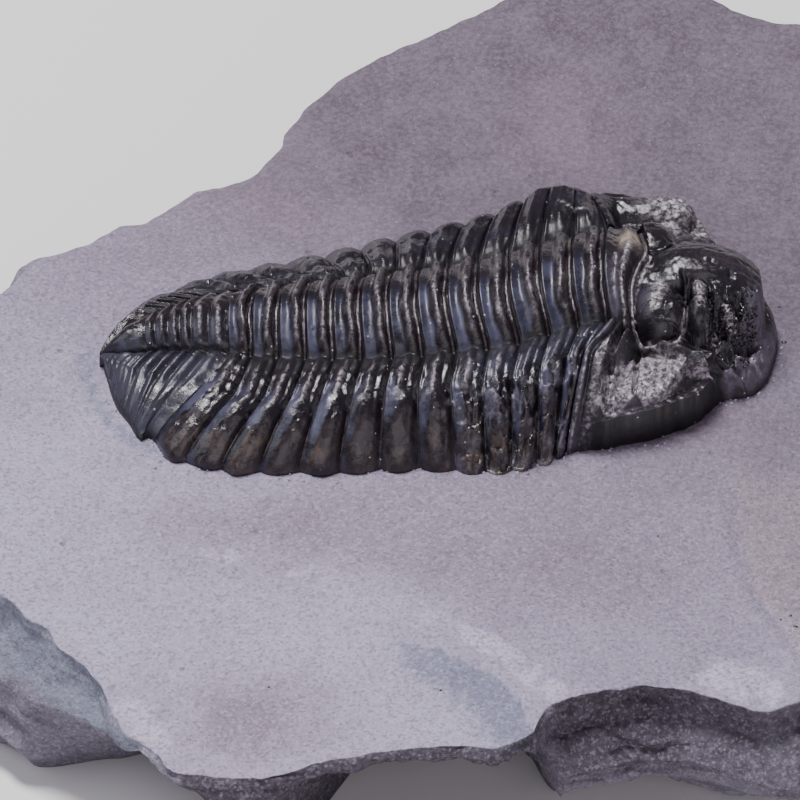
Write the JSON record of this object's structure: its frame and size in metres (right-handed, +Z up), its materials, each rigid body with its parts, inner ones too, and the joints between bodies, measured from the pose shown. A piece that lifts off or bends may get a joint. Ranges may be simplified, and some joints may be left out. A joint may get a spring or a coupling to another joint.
{
  "type": "trilobite fossil",
  "caption": "Trilobite fossil lying outstretched on a broken piece of shale, with its ringed body, domed head and fan-shaped tail raised above the rock.",
  "frame": {"origin": "centre of the slab's bounding box in plan, on the flat underside of the rock", "axes": "+X towards the animal's head, +Z up out of the slab's top face, +Y towards the animal's left side"},
  "size_m": [0.1154, 0.111, 0.0251],
  "materials": {
    "matrix": "matte",
    "head_shell": "satin",
    "thorax_shell": "satin",
    "tail_shell": "satin"
  },
  "bodies": {
    "root": {"matrix_slab": "matrix", "cranidium": "head_shell", "free_cheek_right": "head_shell", "free_cheek_left": "head_shell", "thorax_segment_01": "thorax_shell", "thorax_segment_02": "thorax_shell", "thorax_segment_03": "thorax_shell", "thorax_segment_04": "thorax_shell", "thorax_segment_05": "thorax_shell", "thorax_segment_06": "thorax_shell", "thorax_segment_07": "thorax_shell", "thorax_segment_08": "thorax_shell", "thorax_segment_09": "thorax_shell", "thorax_segment_10": "thorax_shell", "thorax_segment_11": "thorax_shell", "thorax_segment_12": "thorax_shell", "thorax_segment_13": "thorax_shell", "pygidium": "tail_shell"}
  },
  "joints": []
}
